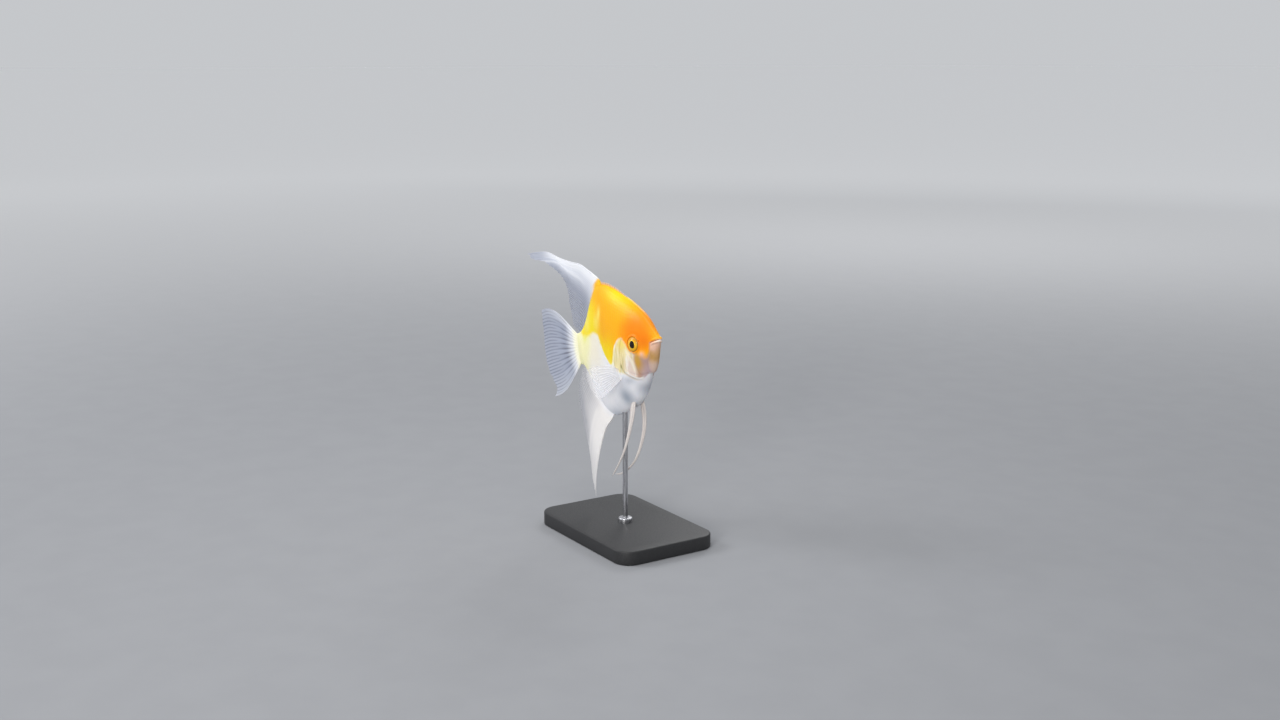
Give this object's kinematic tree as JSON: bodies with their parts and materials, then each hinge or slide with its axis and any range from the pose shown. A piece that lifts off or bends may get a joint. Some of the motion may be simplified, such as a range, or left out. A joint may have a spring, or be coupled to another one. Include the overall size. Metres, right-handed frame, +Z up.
{
  "type": "freshwater angelfish display model",
  "caption": "Life-size freshwater angelfish with a golden-orange cap, pearly white body and long swept fins, held nose-up on a rod above a flat black base.",
  "frame": {"origin": "centre of the stand base's underside", "axes": "+X towards the fish's snout, +Y towards its left side, +Z up"},
  "size_m": [0.1419, 0.062, 0.1547],
  "materials": {
    "skin_orange": "satin painted skin, deep orange over the head and nape",
    "skin_blush": "satin painted skin, pinkish beige",
    "skin_pearl": "satin painted skin, pearly white with a golden cap",
    "skin_cream": "satin painted skin, pale yellow",
    "eye": "glossy amber iris with a black pupil",
    "fin": "thin bluish-white ray fin",
    "stand_black": "matte black",
    "stand_steel": "brushed"
  },
  "bodies": {
    "root": {"head": "skin_orange", "lower_jaw": "skin_blush", "trunk": "skin_pearl", "tail_stalk": "skin_cream", "gill_cover_left": "skin_cream", "gill_cover_right": "skin_cream", "eye_left": "eye", "eye_right": "eye", "dorsal_fin_spiny": "fin", "dorsal_fin_soft": "fin", "anal_fin": "fin", "caudal_fin": "fin", "pectoral_fin_left": "fin", "pectoral_fin_right": "fin", "pelvic_fin_left": "fin", "pelvic_fin_right": "fin", "stand_base": "stand_black", "stand_rod": "stand_steel"}
  },
  "joints": []
}
